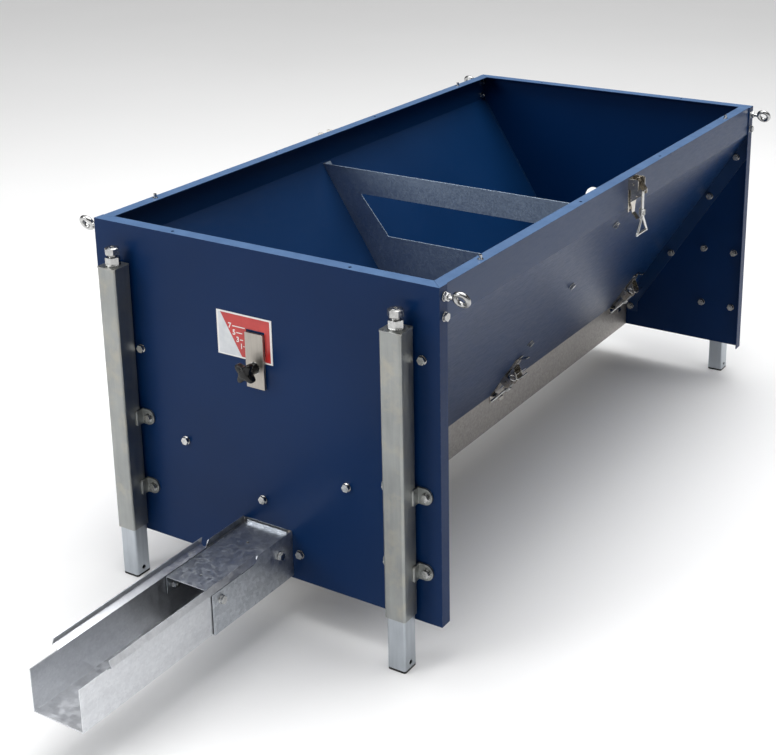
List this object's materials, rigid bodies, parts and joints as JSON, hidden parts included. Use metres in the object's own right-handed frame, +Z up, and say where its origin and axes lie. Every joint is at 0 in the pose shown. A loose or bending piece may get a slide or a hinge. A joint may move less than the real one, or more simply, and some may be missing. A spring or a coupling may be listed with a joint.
{
  "type": "chain feeder hopper",
  "caption": "Open-topped sheet-metal feed hopper on telescoping screw legs, with a bottom trough, level gate, toggle latches and an open outlet trough for a feed chain.",
  "frame": {"origin": "on the floor below the middle of the whole object, legs as shown", "axes": "+Z up, +X to the right seen from the outlet end, +Y from the outlet end towards the rear"},
  "size_m": [0.8144, 1.9588, 0.688],
  "materials": {
    "blue_end_panels": "blue powder coat, satin, faint orange peel",
    "blue_side_panels": "blue powder coat, satin, duller and slightly greyer",
    "dark_divider": "dull darkened galvanised sheet",
    "galvanised_trough": "matt galvanised sheet with fine spangle",
    "galvanised_outlet": "galvanised sheet with spangle",
    "spangled_cover": "bright galvanised sheet with large spangle",
    "leg_zinc": "zinc-plated tube, light grey, dull",
    "inner_leg_zinc": "zinc-plated tube, cleaner and slightly bluish",
    "zinc_fasteners": "bright zinc plating",
    "latch_plating": "nickel-bright pressed steel",
    "bail_wire": "bright drawn wire",
    "bar_steel": "bare steel strip with a warm tone",
    "label_print": "printed film label, red with a white border and plain numbers",
    "black_plastic": "black moulded plastic, fine grain"
  },
  "bodies": {
    "shell": {"front_end_panel": "blue_end_panels", "rear_end_panel": "blue_end_panels", "left_side_panel": "blue_side_panels", "right_side_panel": "blue_side_panels", "divider_plate": "dark_divider", "bottom_trough": "galvanised_trough", "outlet_trough": "galvanised_outlet", "outlet_adapter": "spangled_cover", "adapter_cover": "spangled_cover", "leg_tube_fl": "leg_zinc", "leg_tube_fr": "leg_zinc", "leg_tube_rl": "leg_zinc", "leg_tube_rr": "leg_zinc", "leg_caps": "leg_zinc", "leg_brackets": "leg_zinc", "adapter_bolts": "zinc_fasteners", "adapter_nuts": "zinc_fasteners", "leg_bolts": "zinc_fasteners", "leg_nuts": "zinc_fasteners", "panel_bolts": "zinc_fasteners", "panel_nuts": "zinc_fasteners", "eye_bolts": "zinc_fasteners", "eye_nuts": "zinc_fasteners", "lid_studs": "zinc_fasteners", "latch_bases": "latch_plating", "latch_pins": "latch_plating", "trough_catches": "latch_plating", "level_label": "label_print"},
    "leg_fl": {"leg_inner_fl": "inner_leg_zinc", "leg_foot_fl": "black_plastic"},
    "screw_fl": {"leg_screw_fl": "zinc_fasteners"},
    "leg_fr": {"leg_inner_fr": "inner_leg_zinc", "leg_foot_fr": "black_plastic"},
    "screw_fr": {"leg_screw_fr": "zinc_fasteners"},
    "leg_rl": {"leg_inner_rl": "inner_leg_zinc", "leg_foot_rl": "black_plastic"},
    "screw_rl": {"leg_screw_rl": "zinc_fasteners"},
    "leg_rr": {"leg_inner_rr": "inner_leg_zinc", "leg_foot_rr": "black_plastic"},
    "screw_rr": {"leg_screw_rr": "zinc_fasteners"},
    "level_slide": {"level_bar": "bar_steel", "level_gate": "spangled_cover", "level_stud": "zinc_fasteners"},
    "knob": {"star_knob": "black_plastic"},
    "lid_lever_right": {"lid_lever_right": "latch_plating"},
    "lid_bail_right": {"lid_bail_right": "bail_wire"},
    "lid_lever_left": {"lid_lever_left": "latch_plating"},
    "lid_bail_left": {"lid_bail_left": "bail_wire"},
    "trough_lever_rm": {"trough_lever_rm": "latch_plating", "trough_clip_rm": "bail_wire"},
    "trough_bail_rm": {"trough_bail_rm": "bail_wire"},
    "trough_lever_rr": {"trough_lever_rr": "latch_plating", "trough_clip_rr": "bail_wire"},
    "trough_bail_rr": {"trough_bail_rr": "bail_wire"},
    "trough_lever_lm": {"trough_lever_lm": "latch_plating", "trough_clip_lm": "bail_wire"},
    "trough_bail_lm": {"trough_bail_lm": "bail_wire"},
    "trough_lever_lr": {"trough_lever_lr": "latch_plating", "trough_clip_lr": "bail_wire"},
    "trough_bail_lr": {"trough_bail_lr": "bail_wire"}
  },
  "joints": [
    {"name": "screw_fl_turn", "type": "hinge", "parent": "shell", "child": "screw_fl", "pos_m": [-0.296, -0.49338, 0.61], "axis": [0, 0, 1], "range_deg": [-7200, 18000]},
    {"name": "leg_fl_slide", "type": "slide", "parent": "shell", "child": "leg_fl", "axis": [0, 0, -1], "range_m": [-0.04, 0.1]},
    {"name": "screw_fr_turn", "type": "hinge", "parent": "shell", "child": "screw_fr", "pos_m": [0.296, -0.49338, 0.61], "axis": [0, 0, 1], "range_deg": [-7200, 18000]},
    {"name": "leg_fr_slide", "type": "slide", "parent": "shell", "child": "leg_fr", "axis": [0, 0, -1], "range_m": [-0.04, 0.1]},
    {"name": "screw_rl_turn", "type": "hinge", "parent": "shell", "child": "screw_rl", "pos_m": [-0.296, 0.95862, 0.61], "axis": [0, 0, 1], "range_deg": [-7200, 18000]},
    {"name": "leg_rl_slide", "type": "slide", "parent": "shell", "child": "leg_rl", "axis": [0, 0, -1], "range_m": [-0.04, 0.1]},
    {"name": "screw_rr_turn", "type": "hinge", "parent": "shell", "child": "screw_rr", "pos_m": [0.296, 0.95862, 0.61], "axis": [0, 0, 1], "range_deg": [-7200, 18000]},
    {"name": "leg_rr_slide", "type": "slide", "parent": "shell", "child": "leg_rr", "axis": [0, 0, -1], "range_m": [-0.04, 0.1]},
    {"name": "level_slide", "type": "slide", "parent": "shell", "child": "level_slide", "axis": [0, 0, 1], "range_m": [-0.0306, 0.0035]},
    {"name": "knob_turn", "type": "hinge", "parent": "level_slide", "child": "knob", "pos_m": [-0.005, -0.48738, 0.47], "axis": [0, -1, 0], "continuous": true},
    {"name": "lid_lever_right_turn", "type": "hinge", "parent": "shell", "child": "lid_lever_right", "pos_m": [0.368, 0.25462, 0.668], "axis": [0, -1, 0], "range_deg": [0, 120]},
    {"name": "lid_bail_right_swing", "type": "hinge", "parent": "lid_lever_right", "child": "lid_bail_right", "pos_m": [0.382, 0.25462, 0.652], "axis": [0, -1, 0], "range_deg": [-3, 95]},
    {"name": "lid_lever_left_turn", "type": "hinge", "parent": "shell", "child": "lid_lever_left", "pos_m": [-0.368, 0.25462, 0.668], "axis": [0, 1, 0], "range_deg": [0, 120]},
    {"name": "lid_bail_left_swing", "type": "hinge", "parent": "lid_lever_left", "child": "lid_bail_left", "pos_m": [-0.382, 0.25462, 0.652], "axis": [0, 1, 0], "range_deg": [-3, 95]},
    {"name": "trough_lever_rm_turn", "type": "hinge", "parent": "shell", "child": "trough_lever_rm", "pos_m": [0.10246, 0.23262, 0.20168], "axis": [0, 1, 0], "range_deg": [0, 90]},
    {"name": "trough_bail_rm_swing", "type": "hinge", "parent": "trough_lever_rm", "child": "trough_bail_rm", "pos_m": [0.12289, 0.23262, 0.20757], "axis": [0, 1, 0], "range_deg": [-108, 0]},
    {"name": "trough_lever_rr_turn", "type": "hinge", "parent": "shell", "child": "trough_lever_rr", "pos_m": [0.10246, 0.83262, 0.20168], "axis": [0, 1, 0], "range_deg": [0, 90]},
    {"name": "trough_bail_rr_swing", "type": "hinge", "parent": "trough_lever_rr", "child": "trough_bail_rr", "pos_m": [0.12289, 0.83262, 0.20757], "axis": [0, 1, 0], "range_deg": [-108, 0]},
    {"name": "trough_lever_lm_turn", "type": "hinge", "parent": "shell", "child": "trough_lever_lm", "pos_m": [-0.10246, 0.23262, 0.20168], "axis": [0, -1, 0], "range_deg": [0, 90]},
    {"name": "trough_bail_lm_swing", "type": "hinge", "parent": "trough_lever_lm", "child": "trough_bail_lm", "pos_m": [-0.12289, 0.23262, 0.20757], "axis": [0, -1, 0], "range_deg": [-108, 0]},
    {"name": "trough_lever_lr_turn", "type": "hinge", "parent": "shell", "child": "trough_lever_lr", "pos_m": [-0.10246, 0.83262, 0.20168], "axis": [0, -1, 0], "range_deg": [0, 90]},
    {"name": "trough_bail_lr_swing", "type": "hinge", "parent": "trough_lever_lr", "child": "trough_bail_lr", "pos_m": [-0.12289, 0.83262, 0.20757], "axis": [0, -1, 0], "range_deg": [-108, 0]}
  ],
  "couplings": [
    {"joint": "screw_fl_turn", "follows": "leg_fl_slide", "rad_per_m": 3141.6},
    {"joint": "screw_fr_turn", "follows": "leg_fr_slide", "rad_per_m": 3141.6},
    {"joint": "screw_rl_turn", "follows": "leg_rl_slide", "rad_per_m": 3141.6},
    {"joint": "screw_rr_turn", "follows": "leg_rr_slide", "rad_per_m": 3141.6},
    {"joint": "trough_bail_rm_swing", "follows": "trough_lever_rm_turn", "ratio": -1.2},
    {"joint": "trough_bail_rr_swing", "follows": "trough_lever_rr_turn", "ratio": -1.2},
    {"joint": "trough_bail_lm_swing", "follows": "trough_lever_lm_turn", "ratio": -1.2},
    {"joint": "trough_bail_lr_swing", "follows": "trough_lever_lr_turn", "ratio": -1.2}
  ]
}
